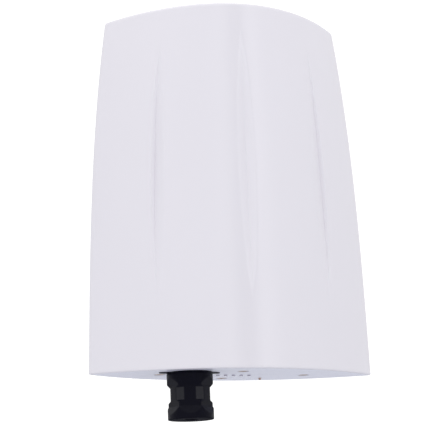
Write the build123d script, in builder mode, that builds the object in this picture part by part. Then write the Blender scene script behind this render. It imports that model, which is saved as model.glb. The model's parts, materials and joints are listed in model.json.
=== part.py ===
"""Outdoor yagi antenna unit: a lens-shaped white radome over a short yagi array.

Axes: +Z up, X to the right seen from the front, the front faces -Y.
Origin: centre of the square mounting pad on the back of the radome.
Most sketches are drawn on planes whose own origin is the middle of the lens
chord, at a height measured from the bottom rim of the radome.
"""

import os
from math import hypot, pi, sin, sqrt

from build123d import *

# ---------------------------------------------------------------- driving dimensions (mm)
# Radome: horizontal sections are lenses, made where two discs overlap.
CORNER_HEIGHT = 218.0        # rim to the two top corners
CROWN_HEIGHT = 226.4         # rim to the middle of the arched top
BASE_HALF_WIDTH = 92.0       # half of the width across the rim
TAPER_STRAIGHT = 7.6         # half-width lost evenly from rim to corners
TAPER_CURVED = 9.4           # half-width lost as the cube of the height
FRONT_RISE = (38.4, 34.3)    # bulge in front of the chord, at rim and at corners
REAR_RISE = (33.6, 30.0)     # bulge behind the chord, at rim and at corners
TIP_RADIUS = 3.0             # rounding of the two upright side edges
WALL = 3.4
TOP_EDGE_RADIUS = 1.2
RIM_EDGE_RADIUS = 0.8

# Decorative grooves in the front.
GROOVE_BOTTOM = 45.0
SIDE_GROOVE_TOP = 201.0
CENTRE_GROOVE_TOP = 206.0
SIDE_GROOVE_PLACE = 0.62     # share of the half-width
GROOVE_HALF_WIDTH = 4.8
GROOVE_DEPTH = 1.9

# Mounting pad and its threaded inserts.
PAD_SIZE = 64.0
PAD_CORNER_RADIUS = 6.0
PAD_HEIGHT = 110.0           # height of the pad's centre over the rim
PAD_SETBACK = 34.0           # pad face behind the lens chord
PAD_DEPTH = 8.0
BRACKET_SPACING = 50.0
BRACKET_HOLE_RADIUS = 2.5    # M5 thread
BRACKET_INSERT_RADIUS = 3.6
BRACKET_INSERT_LENGTH = 9.0
BRACKET_BOSS_RADIUS = 6.0
BRACKET_BOSS_LENGTH = 13.0

# Base cover and its seal.
COVER_THICKNESS = 3.0
COVER_INSET = 1.85
RECESS_INSET = 1.7
GASKET_THICKNESS = 1.0
GASKET_WIDTH = 1.5
SCREW_SPREAD_X = 47.0
SCREW_SPREAD_Y = 19.5
SCREW_RADIUS = 1.5           # M3
SCREW_HEAD_RADIUS = 2.75
SCREW_HEAD_HEIGHT = 1.65
SCREW_HEAD_ROUNDING = 0.5
SCREW_TIP_CHAMFER = 0.5
SCREW_DRIVE = (3.0, 0.8, 1.0)    # cross recess: length, width, depth
SCREW_LENGTH = 10.0
SCREW_PLAY = 0.2
THREAD_GAP = 0.02            # radial gap of a screw in its thread
COUNTERBORE_RADIUS = 3.6
COVER_INSERT_RADIUS = 2.5
COVER_INSERT_LENGTH = 8.0
COVER_BOSS_RADIUS = 4.2
BOSS_BOTTOM = COVER_THICKNESS + GASKET_THICKNESS + 0.1
COVER_BOSS_TOP = 19.0
RIB_THICKNESS = 2.2
SIDE_RIB_DEPTH = 51.0
SIDE_RIB_Y = -2.0

# Cable gland.
GLAND_X = -32.2
GLAND_Y = -13.0
GLAND_LENGTH = 28.7          # below the rim
COLLAR_RADIUS = 14.0
FLAT_DISTANCE = 11.6         # axis to each wrench flat
FLAT_ANGLE = -110.0          # direction that one flat faces
COLLAR_HEIGHT = 3.0          # least height of the round end bands
RAMP_HEIGHT = 4.7            # run-out of each flat into the bands
WAIST_RADIUS = 12.1
WAIST_TOP = 9.5              # depth below the rim
WAIST_BOTTOM = 17.4
THREAD_RADIUS = 9.8
RUNNING_CLEARANCE = 0.05
STEM_BORE = 7.2
STEM_BOTTOM = 17.0
STEM_TOP = 12.0
FLANGE_THICKNESS = 0.6
EAR_HALF_LENGTH = 19.4
EAR_HALF_WIDTH = 5.1
GLAND_RING_RADII = (10.6, 13.0)
GLAND_RING_HEIGHT = 0.9
CABLE_RADIUS = 3.0
NUT_MOUTH_RADIUS = 5.0
SEAT_RADIUS = 8.8
SEAT_TOP = -22.4
SEAT_BOTTOM = -26.2
SEAL_RADIUS = 9.4
SPLIT_RING_HEIGHT = 1.2
SPLIT_RING_SLOT = 1.0
STEM_CHAMFER = 0.8
NUT_EDGE_ROUNDING = 0.6
NUT_GAP = 0.1                # between the nut and the flange
SEAL_GAP = 0.3               # between the seal's cone and the nut's seat
LOCKNUT_CORNER_RADIUS = 13.6
LOCKNUT_HEIGHT = 5.5

# Electronics.
BOARD_WIDTH = 112.0
BOARD_BOTTOM = 22.0
BOARD_TOP = 63.0
BOARD_FRONT_Y = 1.2
BOARD_THICKNESS = 1.6
WINDOW_COUNT = 5
WINDOW_PITCH = 5.1
WINDOW_X = 1.0
WINDOW_Y = 0.4
WINDOW_RADIUS = 1.1
WINDOW_PROUD = 0.6           # below the cover
LIGHT_BAR_DEPTH = 3.4
LIGHT_BAR_HEIGHT = 2.0
LED_SIZE = (3.2, 1.6, 2.0)

# Breather vent in the base cover.
VENT_X = 24.6
VENT_Y = 17.5
VENT_RADIUS = 1.6
VENT_NUB_RADIUS = 0.7
VENT_NUB_HEIGHT = 1.0
VENT_CAP_RADIUS = 2.6
VENT_CAP_HEIGHT = 1.2
VENT_BOSS_RADIUS = 4.0
VENT_BOSS_HEIGHT = 2.0

# Yagi array: element height over the rim and half-length.
ELEMENT_RADIUS = 2.5
ELEMENT_Y = -3.5
REFLECTOR = (72.0, 77.5)
DRIVEN = (108.0, 74.0)
DIRECTORS = ((138.0, 70.0), (168.0, 68.0), (198.0, 65.0))
DRIVEN_GAP = 6.0
BOOM_SIZE = 8.0
BOOM_WALL = 1.2
BOOM_Y = 4.0
BOOM_BOTTOM = 66.0
BOOM_TOP = 206.0
CLAMP_SIZE = (18.0, 7.0, 10.0)
FEED_BOARD_SIZE = (16.0, 1.6, 14.0)

# Carrier that holds the boom and the radio board on the base cover.
CARRIER_Y = 8.0
CARRIER_THICKNESS = 2.5
CARRIER_MARGIN = 2.0         # round the radio board
CARRIER_NECK_WIDTH = 26.0
CARRIER_NECK_MARGIN = 4.0    # above the boom and below the board's top
LIGHTENING_SIZE = (14.0, 12.0)
STANDOFF_RADIUS = 3.0
FIT_GAP = 0.05
LEG_WIDTH = 14.0
LEG_X = (-6.0, 26.0)
FOOT_Y = 7.0
FOOT_DEPTH = 8.0
FOOT_THICKNESS = 2.5
FOOT_SCREW_PLACES = [(-9.0, 5.5), (29.0, 5.5)]
LIGHTENING_PLACES = [(-42, 42), (-22, 42), (22, 42), (42, 42)]
BOARD_SCREW_PLACES = [(-51, 27), (51, 27), (-51, 58), (51, 58)]
BOOM_SCREW_PLACES = [(0, 88), (0, 184)]
SMALL_SCREW_RADIUS = 1.25
SMALL_HEAD_RADIUS = 2.4
SMALL_HEAD_HEIGHT = 1.6
SMALL_DRIVE = (2.6, 0.7, 0.9)
SMALL_SCREW_PLAY = 0.1
BOARD_SCREW_LENGTH = 6.0
FOOT_SCREW_LENGTH = 4.6
FOOT_PILOT_DEPTH = 2.2
BOOM_SCREW_LENGTH = 4.5

# Parts on the radio board.
SHIELD_PLACE = (22.0, 44.0)
SHIELD_SIZE = (44.0, 4.0, 28.0)
SHIELD_WALL = 0.3
JACK_BOTTOM = 26.0
JACK_SIZE = (16.0, 13.5, 21.0)
PORT_SIZE = (11.8, 7.0, 14.0)
PORT_Y = 7.2                 # in front of the board
LATCH_SLOT = (6.0, 2.0)
LATCH_Y = 11.2

# Coaxial feed from the radio board to the driven element.
COAX_X = -13.0
COAX_Y = -2.0
COAX_JACK_BOTTOM = 42.0
COAX_RADIUS = 1.3
COAX_JACK_SIZE = (6.0, 6.4, 8.0)
COAX_BARREL_RADIUS = 2.4
COAX_BARREL_HEIGHT = 3.0
COAX_ROUTE = [
    (COAX_X, COAX_Y, 53.0),
    (COAX_X, COAX_Y, 59.0),
    (COAX_X, -9.5, 68.0),
    (COAX_X, -9.5, 95.0),
    (-6.0, -10.0, 103.0),
    (-4.0, -10.0, 108.0),
]
COAX_BENDS = [6.0, 6.0, 7.0, 6.0]

os.makedirs("parts", exist_ok=True)


# ---------------------------------------------------------------- planes and places
def level(height):
    """Horizontal plane at a height over the rim, its origin on the lens chord."""
    return Plane((0, -PAD_SETBACK, height - PAD_HEIGHT))


def upright(y):
    """Upright plane facing the front at y from the chord; its local y is the height."""
    return Plane((0, y - PAD_SETBACK, -PAD_HEIGHT), x_dir=(1, 0, 0), z_dir=(0, -1, 0))


def gland_level(height):
    """Horizontal plane at a height over the rim, its origin on the gland's axis."""
    return Plane((GLAND_X, GLAND_Y - PAD_SETBACK, height - PAD_HEIGHT))


def upright_back(y):
    """Upright plane facing the back; its local x runs the other way."""
    return Plane((0, y - PAD_SETBACK, -PAD_HEIGHT), x_dir=(-1, 0, 0), z_dir=(0, 1, 0))


def side_plane(x):
    """Upright plane facing +X; its local x is the depth, its local y the height."""
    return Plane((x, -PAD_SETBACK, -PAD_HEIGHT), x_dir=(0, 1, 0), z_dir=(1, 0, 0))


def save(part, name):
    part.label = name
    export_step(part, f"parts/{name}.step")


COVER_SCREW_PLACES = [
    (-SCREW_SPREAD_X, 0),
    (SCREW_SPREAD_X, 0),
    (0, -SCREW_SPREAD_Y),
    (0, SCREW_SPREAD_Y),
]
WINDOW_PLACES = [
    (WINDOW_X + WINDOW_PITCH * (i - (WINDOW_COUNT - 1) / 2), WINDOW_Y)
    for i in range(WINDOW_COUNT)
]
BRACKET_PLACES = [
    (sx * BRACKET_SPACING / 2, PAD_HEIGHT + sz * BRACKET_SPACING / 2)
    for sx in (-1, 1)
    for sz in (-1, 1)
]


# ---------------------------------------------------------------- repeated shapes
def gland_ring():
    """Adds the ring-shaped seat of the gland's gasket to the open sketch."""
    Circle(GLAND_RING_RADII[1])
    Circle(GLAND_RING_RADII[0], mode=Mode.SUBTRACT)


def insert_profile(outer, inner):
    """Ring for a threaded insert, drawn at each place in the open Locations."""
    Circle(outer)
    Circle(inner, mode=Mode.SUBTRACT)


def cross_recess(drive):
    """Cross of a screw's drive recess, added to the open sketch at its places."""
    Rectangle(drive[0], drive[1])
    Rectangle(drive[1], drive[0])


def small_screws(plane, places, length, name):
    """Pan head screws whose heads sit on a plane and point out along its normal."""
    with BuildPart() as screws:
        with BuildSketch(plane):
            with Locations(*places):
                Circle(SMALL_HEAD_RADIUS)
        extrude(amount=SMALL_HEAD_HEIGHT)
        with BuildSketch(plane.offset(SMALL_HEAD_HEIGHT)):
            with Locations(*places):
                cross_recess(SMALL_DRIVE)
        extrude(amount=-SMALL_DRIVE[2], mode=Mode.SUBTRACT)
        with BuildSketch(plane):
            with Locations(*places):
                Circle(SMALL_SCREW_RADIUS)
        extrude(amount=-length)
    save(screws.part, name)


def rod(height, half_length, name):
    """Whole element rod with rounded ends."""
    with BuildPart() as element:
        with BuildSketch(side_plane(-half_length)):
            with Locations((ELEMENT_Y, height)):
                Circle(ELEMENT_RADIUS)
        extrude(amount=2 * half_length)
        fillet(element.edges(), ELEMENT_RADIUS * 0.4)
    save(element.part, name)


# ---------------------------------------------------------------- lens outline
def half_width(height):
    share = height / CORNER_HEIGHT
    return BASE_HALF_WIDTH - TAPER_STRAIGHT * share - TAPER_CURVED * share**3


def between(ends, height):
    return ends[0] + (ends[1] - ends[0]) * height / CORNER_HEIGHT


def arc_radius(half_chord, rise):
    return (half_chord**2 + rise**2) / (2 * rise)


def lens_arcs(height):
    """Radii of the front and rear arcs and their rises.

    The tip rounding cuts the sharp chord back by about half its radius, so the
    sharp chord starts that much longer.
    """
    chord = half_width(height) + 0.48 * TIP_RADIUS
    front = between(FRONT_RISE, height)
    rear = between(REAR_RISE, height)
    return arc_radius(chord, front), front, arc_radius(chord, rear), rear


def lens_outline(height, inset):
    """Adds the lens to the open sketch: two discs, cut to what they share."""
    front_radius, front, rear_radius, rear = lens_arcs(height)
    with Locations((0, front_radius - front)):
        Circle(front_radius - inset)
    with Locations((0, rear - rear_radius)):
        Circle(rear_radius - inset, mode=Mode.INTERSECT)


def front_point(height, share):
    """Point and outward normal of the front surface, in the level plane."""
    front_radius, front, _, _ = lens_arcs(height)
    x = share * half_width(height)
    y = front_radius - front - sqrt(front_radius**2 - x**2)
    reach = hypot(x, y - (front_radius - front))
    return (x, y), (x / reach, (y - (front_radius - front)) / reach)


def lens_body(inset, bottom, crown, tip_radius):
    """Solid lens prism with the taper and the arched top."""
    heights = [bottom + (crown + 4 - bottom) * i / 6 for i in range(7)]
    arch_radius = arc_radius(half_width(CORNER_HEIGHT), CROWN_HEIGHT - CORNER_HEIGHT)
    with BuildPart() as body:
        for height in heights:
            with BuildSketch(level(height)) as outline:
                lens_outline(height, inset)
                fillet(outline.vertices(), tip_radius)
        loft()
        with BuildSketch(upright(0)):
            with Locations((0, crown - arch_radius)):
                Circle(arch_radius)
        extrude(amount=BASE_HALF_WIDTH, both=True, mode=Mode.INTERSECT)
    return body.part


def groove(share, top, lean):
    """Leaf-shaped cutter in the front; lean moves its floor along the tangent."""
    with BuildPart() as cutter:
        for step in (0.02, 0.25, 0.5, 0.75, 0.98):
            height = GROOVE_BOTTOM + (top - GROOVE_BOTTOM) * step
            swell = sin(pi * step)
            (x, y), (nx, ny) = front_point(height, share)
            wide = GROOVE_HALF_WIDTH * swell
            deep = GROOVE_DEPTH * swell
            rise = 0.15 * wide
            floor = lean * wide
            with BuildSketch(level(height)):
                with BuildLine():
                    Polyline(
                        (x - ny * wide + nx * rise, y + nx * wide + ny * rise),
                        (x + ny * wide + nx * rise, y - nx * wide + ny * rise),
                        (x - ny * floor - nx * deep, y + nx * floor - ny * deep),
                        close=True,
                    )
                make_face()
        loft()
    return cutter.part


# ---------------------------------------------------------------- radome
cavity = lens_body(WALL, COVER_THICKNESS, CROWN_HEIGHT - WALL, 2.0)
shell = lens_body(0, 0, CROWN_HEIGHT, TIP_RADIUS)
grooves = [
    groove(-SIDE_GROOVE_PLACE, SIDE_GROOVE_TOP, -0.4),
    groove(0, CENTRE_GROOVE_TOP, 0),
    groove(SIDE_GROOVE_PLACE, SIDE_GROOVE_TOP, 0.4),
]
rear_wall = REAR_RISE[0] - WALL / 2
front_wall = FRONT_RISE[0] - WALL / 2

with BuildPart() as radome:
    add(shell)
    fillet(radome.faces().sort_by(Axis.Z)[-1].edges(), TOP_EDGE_RADIUS)
    fillet(radome.faces().sort_by(Axis.Z)[0].edges(), RIM_EDGE_RADIUS)
    with BuildSketch(upright(PAD_SETBACK)):
        with Locations((0, PAD_HEIGHT)):
            RectangleRounded(PAD_SIZE, PAD_SIZE, PAD_CORNER_RADIUS)
    extrude(amount=PAD_DEPTH)
    add(cavity, mode=Mode.SUBTRACT)
    for cutter in grooves:
        add(cutter, mode=Mode.SUBTRACT)
    # recess that takes the base cover and its gasket
    with BuildSketch(level(0)) as recess:
        lens_outline(0, RECESS_INSET)
        fillet(recess.vertices(), 2.0)
    extrude(amount=COVER_THICKNESS + GASKET_THICKNESS, mode=Mode.SUBTRACT)
    # bosses for the bracket inserts, in from the pad
    with BuildSketch(upright(PAD_SETBACK)):
        with Locations(*BRACKET_PLACES):
            Circle(BRACKET_BOSS_RADIUS)
    extrude(amount=BRACKET_BOSS_LENGTH)
    with BuildSketch(upright(PAD_SETBACK)):
        with Locations(*BRACKET_PLACES):
            Circle(BRACKET_INSERT_RADIUS)
    extrude(amount=BRACKET_INSERT_LENGTH, mode=Mode.SUBTRACT)
    # bosses for the cover screws, each on a rib that reaches the wall
    with BuildSketch(level(BOSS_BOTTOM)):
        with Locations(*COVER_SCREW_PLACES):
            Circle(COVER_BOSS_RADIUS)
        with Locations((-SCREW_SPREAD_X, SIDE_RIB_Y), (SCREW_SPREAD_X, SIDE_RIB_Y)):
            Rectangle(RIB_THICKNESS, SIDE_RIB_DEPTH)
        with Locations((0, (rear_wall + SCREW_SPREAD_Y) / 2)):
            Rectangle(RIB_THICKNESS, rear_wall - SCREW_SPREAD_Y)
        with Locations((0, -(front_wall + SCREW_SPREAD_Y) / 2)):
            Rectangle(RIB_THICKNESS, front_wall - SCREW_SPREAD_Y)
    extrude(amount=COVER_BOSS_TOP - BOSS_BOTTOM)
    with BuildSketch(level(BOSS_BOTTOM)):
        with Locations(*COVER_SCREW_PLACES):
            Circle(COVER_INSERT_RADIUS)
    extrude(amount=COVER_INSERT_LENGTH + 1, mode=Mode.SUBTRACT)
save(radome.part, "radome")

# ---------------------------------------------------------------- base cover, seal and screws
with BuildPart() as base_cover:
    with BuildSketch(level(0)) as plate:
        lens_outline(0, COVER_INSET)
        fillet(plate.vertices(), 1.9)
    extrude(amount=COVER_THICKNESS)
    with BuildSketch(level(COVER_THICKNESS)):
        with Locations((VENT_X, VENT_Y)):
            Circle(VENT_BOSS_RADIUS)
    extrude(amount=VENT_BOSS_HEIGHT)
    with BuildSketch(level(0)):
        with Locations(*COVER_SCREW_PLACES):
            Circle(COUNTERBORE_RADIUS)
    extrude(amount=SCREW_HEAD_HEIGHT, mode=Mode.SUBTRACT)
    with BuildSketch(level(0)):
        with Locations(*COVER_SCREW_PLACES):
            Circle(SCREW_RADIUS + SCREW_PLAY)
        with Locations(*WINDOW_PLACES):
            Circle(WINDOW_RADIUS + FIT_GAP)
        with Locations((GLAND_X, GLAND_Y)):
            Circle(THREAD_RADIUS + FIT_GAP)
    extrude(amount=COVER_THICKNESS, mode=Mode.SUBTRACT)
    with BuildSketch(level(0)):
        with Locations((VENT_X, VENT_Y)):
            Circle(VENT_RADIUS)
    extrude(amount=COVER_THICKNESS + VENT_BOSS_HEIGHT, mode=Mode.SUBTRACT)
    with BuildSketch(gland_level(0)):
        gland_ring()
    extrude(amount=GLAND_RING_HEIGHT, mode=Mode.SUBTRACT)
    with BuildSketch(level(COVER_THICKNESS)):
        with Locations(*FOOT_SCREW_PLACES):
            Circle(SMALL_SCREW_RADIUS + THREAD_GAP)
    extrude(amount=-FOOT_PILOT_DEPTH, mode=Mode.SUBTRACT)
save(base_cover.part, "base_cover")

with BuildPart() as cover_gasket:
    with BuildSketch(level(COVER_THICKNESS)) as ring:
        lens_outline(0, COVER_INSET)
        fillet(ring.vertices(), 1.9)
        offset(amount=-GASKET_WIDTH, mode=Mode.SUBTRACT)
    extrude(amount=GASKET_THICKNESS)
save(cover_gasket.part, "cover_gasket")

with BuildPart() as cover_screws:
    with BuildSketch(level(0)):
        with Locations(*COVER_SCREW_PLACES):
            Circle(SCREW_HEAD_RADIUS)
    extrude(amount=SCREW_HEAD_HEIGHT)
    fillet(cover_screws.faces().group_by(Axis.Z)[0].edges(), SCREW_HEAD_ROUNDING)
    with BuildSketch(level(0)):
        with Locations(*COVER_SCREW_PLACES):
            cross_recess(SCREW_DRIVE)
    extrude(amount=SCREW_DRIVE[2], mode=Mode.SUBTRACT)
    with BuildSketch(level(SCREW_HEAD_HEIGHT)):
        with Locations(*COVER_SCREW_PLACES):
            Circle(SCREW_RADIUS)
    extrude(amount=SCREW_LENGTH)
    chamfer(cover_screws.faces().group_by(Axis.Z)[-1].edges(), SCREW_TIP_CHAMFER)
save(cover_screws.part, "cover_screws")


with BuildPart() as cover_inserts:
    with BuildSketch(level(BOSS_BOTTOM)):
        with Locations(*COVER_SCREW_PLACES):
            insert_profile(COVER_INSERT_RADIUS, SCREW_RADIUS + THREAD_GAP)
    extrude(amount=COVER_INSERT_LENGTH)
save(cover_inserts.part, "cover_inserts")

with BuildPart() as bracket_inserts:
    with BuildSketch(upright(PAD_SETBACK)):
        with Locations(*BRACKET_PLACES):
            insert_profile(BRACKET_INSERT_RADIUS, BRACKET_HOLE_RADIUS)
    extrude(amount=BRACKET_INSERT_LENGTH)
save(bracket_inserts.part, "bracket_inserts")

with BuildPart() as breather_vent:
    with BuildSketch(level(-VENT_NUB_HEIGHT)):
        with Locations((VENT_X, VENT_Y)):
            Circle(VENT_NUB_RADIUS)
    extrude(amount=VENT_NUB_HEIGHT)
    with BuildSketch(level(0)):
        with Locations((VENT_X, VENT_Y)):
            Circle(VENT_RADIUS - FIT_GAP)
    extrude(amount=COVER_THICKNESS + VENT_BOSS_HEIGHT)
    with BuildSketch(level(COVER_THICKNESS + VENT_BOSS_HEIGHT)):
        with Locations((VENT_X, VENT_Y)):
            Circle(VENT_CAP_RADIUS)
    extrude(amount=VENT_CAP_HEIGHT)
save(breather_vent.part, "breather_vent")

# ---------------------------------------------------------------- cable gland
with BuildPart() as gland_body:
    with BuildSketch(gland_level(-FLANGE_THICKNESS)):
        Ellipse(EAR_HALF_LENGTH, EAR_HALF_WIDTH)
        Circle(COLLAR_RADIUS - 0.2)
    extrude(amount=FLANGE_THICKNESS)
    with BuildSketch(gland_level(-STEM_BOTTOM)):
        Circle(THREAD_RADIUS)
    extrude(amount=STEM_BOTTOM + STEM_TOP)
    chamfer(gland_body.faces().sort_by(Axis.Z)[0].edges(), STEM_CHAMFER)
    with BuildSketch(gland_level(-STEM_BOTTOM)):
        Circle(STEM_BORE)
    extrude(amount=STEM_BOTTOM + STEM_TOP, mode=Mode.SUBTRACT)
save(gland_body.part, "gland_body")

with BuildPart() as gland_gasket:
    with BuildSketch(gland_level(0)):
        gland_ring()
    extrude(amount=GLAND_RING_HEIGHT)
save(gland_gasket.part, "gland_gasket")

with BuildPart() as gland_locknut:
    with BuildSketch(gland_level(COVER_THICKNESS)):
        RegularPolygon(radius=LOCKNUT_CORNER_RADIUS, side_count=6, rotation=30)
        Circle(THREAD_RADIUS + THREAD_GAP, mode=Mode.SUBTRACT)
    extrude(amount=LOCKNUT_HEIGHT)
save(gland_locknut.part, "gland_locknut")

# Cutter for one wrench flat: it runs out into both end bands on a ramp.
nut_top = -FLANGE_THICKNESS - NUT_GAP
nut_bottom = -GLAND_LENGTH
flat_top = nut_top - COLLAR_HEIGHT - RAMP_HEIGHT
flat_bottom = nut_bottom + COLLAR_HEIGHT + RAMP_HEIGHT
clear_radius = COLLAR_RADIUS + 1
ramp_slope = RAMP_HEIGHT / (COLLAR_RADIUS - FLAT_DISTANCE)
ramp_reach = ramp_slope * (clear_radius - FLAT_DISTANCE)
with BuildPart() as flat_cutter:
    with BuildSketch(Plane.XZ):
        with BuildLine():
            Polyline(
                (FLAT_DISTANCE, flat_bottom),
                (FLAT_DISTANCE, flat_top),
                (clear_radius, flat_top + ramp_reach),
                (clear_radius, flat_bottom - ramp_reach),
                close=True,
            )
        make_face()
    extrude(amount=COLLAR_RADIUS, both=True)

# Cutter for the waist: a ring with 45 degree sides.
waist_slope = clear_radius - WAIST_RADIUS
with BuildPart() as waist_cutter:
    with BuildSketch(Plane.XZ):
        with BuildLine():
            Polyline(
                (WAIST_RADIUS, -WAIST_TOP),
                (clear_radius, -WAIST_TOP + waist_slope),
                (clear_radius, -WAIST_BOTTOM - waist_slope),
                (WAIST_RADIUS, -WAIST_BOTTOM),
                close=True,
            )
        make_face()
    revolve(axis=Axis.Z)

with BuildPart(gland_level(0)) as gland_nut:
    with BuildSketch(gland_level(nut_bottom)):
        Circle(COLLAR_RADIUS)
    extrude(amount=nut_top - nut_bottom)
    fillet(gland_nut.faces().sort_by(Axis.Z)[0].edges(), NUT_EDGE_ROUNDING)
    with PolarLocations(0, 6, start_angle=FLAT_ANGLE):
        add(flat_cutter.part, mode=Mode.SUBTRACT)
    add(waist_cutter.part, mode=Mode.SUBTRACT)
    # threaded bore, then the tapered seat that squeezes the seal, then the mouth
    with BuildSketch(gland_level(SEAT_TOP)):
        Circle(THREAD_RADIUS + RUNNING_CLEARANCE)
    extrude(amount=nut_top - SEAT_TOP, mode=Mode.SUBTRACT)
    with BuildSketch(gland_level(SEAT_TOP)):
        Circle(SEAT_RADIUS)
    with BuildSketch(gland_level(SEAT_BOTTOM)):
        Circle(NUT_MOUTH_RADIUS)
    loft(mode=Mode.SUBTRACT)
    with BuildSketch(gland_level(nut_bottom)):
        Circle(NUT_MOUTH_RADIUS)
    extrude(amount=SEAT_BOTTOM - nut_bottom, mode=Mode.SUBTRACT)
save(gland_nut.part, "gland_nut")

# The seal fills the nut between its split ring and the tapered seat.
seal_top = -STEM_BOTTOM - SPLIT_RING_HEIGHT - 2 * FIT_GAP
cone_top = SEAT_TOP + 2 * FIT_GAP
cone_bottom = SEAT_BOTTOM + 2 * FIT_GAP
with BuildPart() as gland_seal:
    with BuildSketch(gland_level(cone_top)):
        Circle(SEAL_RADIUS)
    extrude(amount=seal_top - cone_top)
    with BuildSketch(gland_level(cone_top)):
        Circle(SEAT_RADIUS - SEAL_GAP)
    with BuildSketch(gland_level(cone_bottom)):
        Circle(NUT_MOUTH_RADIUS - SEAL_GAP)
    loft()
    with BuildSketch(gland_level(cone_bottom)):
        Circle(CABLE_RADIUS)
    extrude(amount=seal_top - cone_bottom, mode=Mode.SUBTRACT)
save(gland_seal.part, "gland_seal")

with BuildPart() as gland_split_ring:
    with BuildSketch(gland_level(-STEM_BOTTOM - FIT_GAP - SPLIT_RING_HEIGHT)):
        Circle(SEAL_RADIUS)
        Circle(STEM_BORE, mode=Mode.SUBTRACT)
        with Locations((SEAL_RADIUS, 0)):
            Rectangle(2 * SEAL_RADIUS, SPLIT_RING_SLOT, mode=Mode.SUBTRACT)
    extrude(amount=SPLIT_RING_HEIGHT)
save(gland_split_ring.part, "gland_split_ring")

# ---------------------------------------------------------------- carrier inside the radome
foot_bottom = COVER_THICKNESS + FIT_GAP
carrier_rear = CARRIER_Y + CARRIER_THICKNESS
board_rear = BOARD_FRONT_Y + BOARD_THICKNESS
board_height = BOARD_TOP - BOARD_BOTTOM
board_middle = (BOARD_BOTTOM + BOARD_TOP) / 2
neck_height = BOOM_TOP - BOARD_TOP + 2 * CARRIER_NECK_MARGIN
with BuildPart() as carrier:
    with BuildSketch(upright(carrier_rear)):
        with Locations((0, board_middle)):
            RectangleRounded(
                BOARD_WIDTH + 2 * CARRIER_MARGIN, board_height + 2 * CARRIER_MARGIN, 4
            )
        with Locations((0, (BOARD_TOP + BOOM_TOP) / 2)):
            RectangleRounded(CARRIER_NECK_WIDTH, neck_height, 6)
        with Locations(*[(x, (foot_bottom + BOARD_BOTTOM) / 2) for x in LEG_X]):
            Rectangle(LEG_WIDTH, BOARD_BOTTOM - foot_bottom)
    extrude(amount=CARRIER_THICKNESS)
    with BuildSketch(upright(carrier_rear)):
        with Locations(*LIGHTENING_PLACES):
            RectangleRounded(*LIGHTENING_SIZE, 3)
    extrude(amount=CARRIER_THICKNESS, mode=Mode.SUBTRACT)
    with BuildSketch(upright(CARRIER_Y)):
        with Locations(*BOARD_SCREW_PLACES):
            Circle(STANDOFF_RADIUS)
    extrude(amount=CARRIER_Y - board_rear)
    with BuildSketch(level(foot_bottom)):
        with Locations(*[(x, FOOT_Y) for x in LEG_X]):
            Rectangle(LEG_WIDTH, FOOT_DEPTH)
    extrude(amount=FOOT_THICKNESS)
    with BuildSketch(upright(carrier_rear)):
        with Locations(*BOARD_SCREW_PLACES):
            Circle(SMALL_SCREW_RADIUS + THREAD_GAP)
    extrude(amount=carrier_rear - board_rear, mode=Mode.SUBTRACT)
    with BuildSketch(upright(carrier_rear)):
        with Locations(*BOOM_SCREW_PLACES):
            Circle(SMALL_SCREW_RADIUS + SMALL_SCREW_PLAY)
    extrude(amount=CARRIER_THICKNESS, mode=Mode.SUBTRACT)
    with BuildSketch(level(foot_bottom)):
        with Locations(*FOOT_SCREW_PLACES):
            Circle(SMALL_SCREW_RADIUS + SMALL_SCREW_PLAY)
    extrude(amount=FOOT_THICKNESS, mode=Mode.SUBTRACT)
save(carrier.part, "carrier")


foot_top = level(foot_bottom + FOOT_THICKNESS)
small_screws(upright(BOARD_FRONT_Y), BOARD_SCREW_PLACES, BOARD_SCREW_LENGTH, "board_screws")
small_screws(foot_top, FOOT_SCREW_PLACES, FOOT_SCREW_LENGTH, "foot_screws")
small_screws(upright_back(carrier_rear), BOOM_SCREW_PLACES, BOOM_SCREW_LENGTH, "boom_screws")

# ---------------------------------------------------------------- radio board
with BuildPart() as radio_board:
    with BuildSketch(upright(board_rear)):
        with Locations((0, board_middle)):
            RectangleRounded(BOARD_WIDTH, board_height, 2)
        with Locations(*BOARD_SCREW_PLACES):
            Circle(SMALL_SCREW_RADIUS + SMALL_SCREW_PLAY, mode=Mode.SUBTRACT)
    extrude(amount=BOARD_THICKNESS)
save(radio_board.part, "radio_board")

with BuildPart() as rf_shield:
    with BuildSketch(upright(BOARD_FRONT_Y)):
        with Locations(SHIELD_PLACE):
            RectangleRounded(SHIELD_SIZE[0], SHIELD_SIZE[2], 1)
    extrude(amount=SHIELD_SIZE[1])
    with BuildSketch(upright(BOARD_FRONT_Y)):
        with Locations(SHIELD_PLACE):
            Rectangle(SHIELD_SIZE[0] - 2 * SHIELD_WALL, SHIELD_SIZE[2] - 2 * SHIELD_WALL)
    extrude(amount=SHIELD_SIZE[1] - SHIELD_WALL, mode=Mode.SUBTRACT)
save(rf_shield.part, "rf_shield")

with BuildPart() as ethernet_jack:
    with BuildSketch(upright(BOARD_FRONT_Y)):
        with Locations((GLAND_X, JACK_BOTTOM + JACK_SIZE[2] / 2)):
            Rectangle(JACK_SIZE[0], JACK_SIZE[2])
    extrude(amount=JACK_SIZE[1])
    with BuildSketch(level(JACK_BOTTOM)):
        with Locations((GLAND_X, BOARD_FRONT_Y - PORT_Y)):
            Rectangle(PORT_SIZE[0], PORT_SIZE[1])
        with Locations((GLAND_X, BOARD_FRONT_Y - LATCH_Y)):
            Rectangle(*LATCH_SLOT)
    extrude(amount=PORT_SIZE[2], mode=Mode.SUBTRACT)
save(ethernet_jack.part, "ethernet_jack")

with BuildPart() as indicator_leds:
    with BuildSketch(level(BOARD_BOTTOM)):
        with Locations(*[(x, BOARD_FRONT_Y - LED_SIZE[1] / 2) for x, _ in WINDOW_PLACES]):
            Rectangle(LED_SIZE[0], LED_SIZE[1])
    extrude(amount=LED_SIZE[2])
save(indicator_leds.part, "indicator_leds")

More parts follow.
